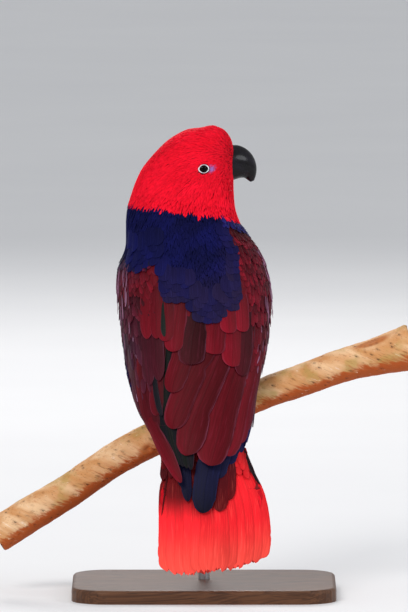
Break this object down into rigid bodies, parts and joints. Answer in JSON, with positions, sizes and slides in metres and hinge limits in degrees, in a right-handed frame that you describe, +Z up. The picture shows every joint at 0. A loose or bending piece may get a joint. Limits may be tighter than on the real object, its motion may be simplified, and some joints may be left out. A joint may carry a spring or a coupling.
{
  "type": "eclectus parrot",
  "caption": "Life-size still model of a female eclectus parrot, seen from behind with its head turned, gripping a cut branch on a flat base with a rod.",
  "frame": {"origin": "centre of the underside of the stand's base", "axes": "+Z up; the bird faces -Y with its back towards +Y, and its head is turned to its own right, towards -X; the branch rises towards -X"},
  "size_m": [0.3078, 0.167, 0.3368],
  "materials": {
    "red_feathers": "fine hair-like feathers, satin",
    "blue_feathers": "fine hair-like feathers, satin",
    "maroon_feathers": "smooth vaned feathers, satin",
    "navy_feathers": "smooth vaned feathers, satin",
    "tail_feathers": "smooth vaned feathers, satin",
    "bill": "black horn, semi gloss",
    "eye": "wet gloss",
    "foot_skin": "scaly grey skin",
    "claw": "black horn, semi gloss",
    "bark": "smooth pale bark",
    "stand_wood": "dark waxed wood",
    "stand_steel": "brushed"
  },
  "bodies": {
    "root": {"bill_lower": "bill", "bill_upper": "bill", "claw_left_1": "claw", "claw_left_2": "claw", "claw_left_3": "claw", "claw_left_4": "claw", "claw_right_1": "claw", "claw_right_2": "claw", "claw_right_3": "claw", "claw_right_4": "claw", "eye_left": "eye", "eye_right": "eye", "foot_left": "foot_skin", "foot_right": "foot_skin", "head": "red_feathers", "neck": "red_feathers", "perch": "bark", "stand_base": "stand_wood", "stand_rod": "stand_steel", "tail": "tail_feathers", "thigh_left": "blue_feathers", "thigh_right": "blue_feathers", "trunk": "blue_feathers", "wing_left": "maroon_feathers", "wing_right": "maroon_feathers", "wing_tip_left": "navy_feathers", "wing_tip_right": "navy_feathers"}
  },
  "joints": []
}
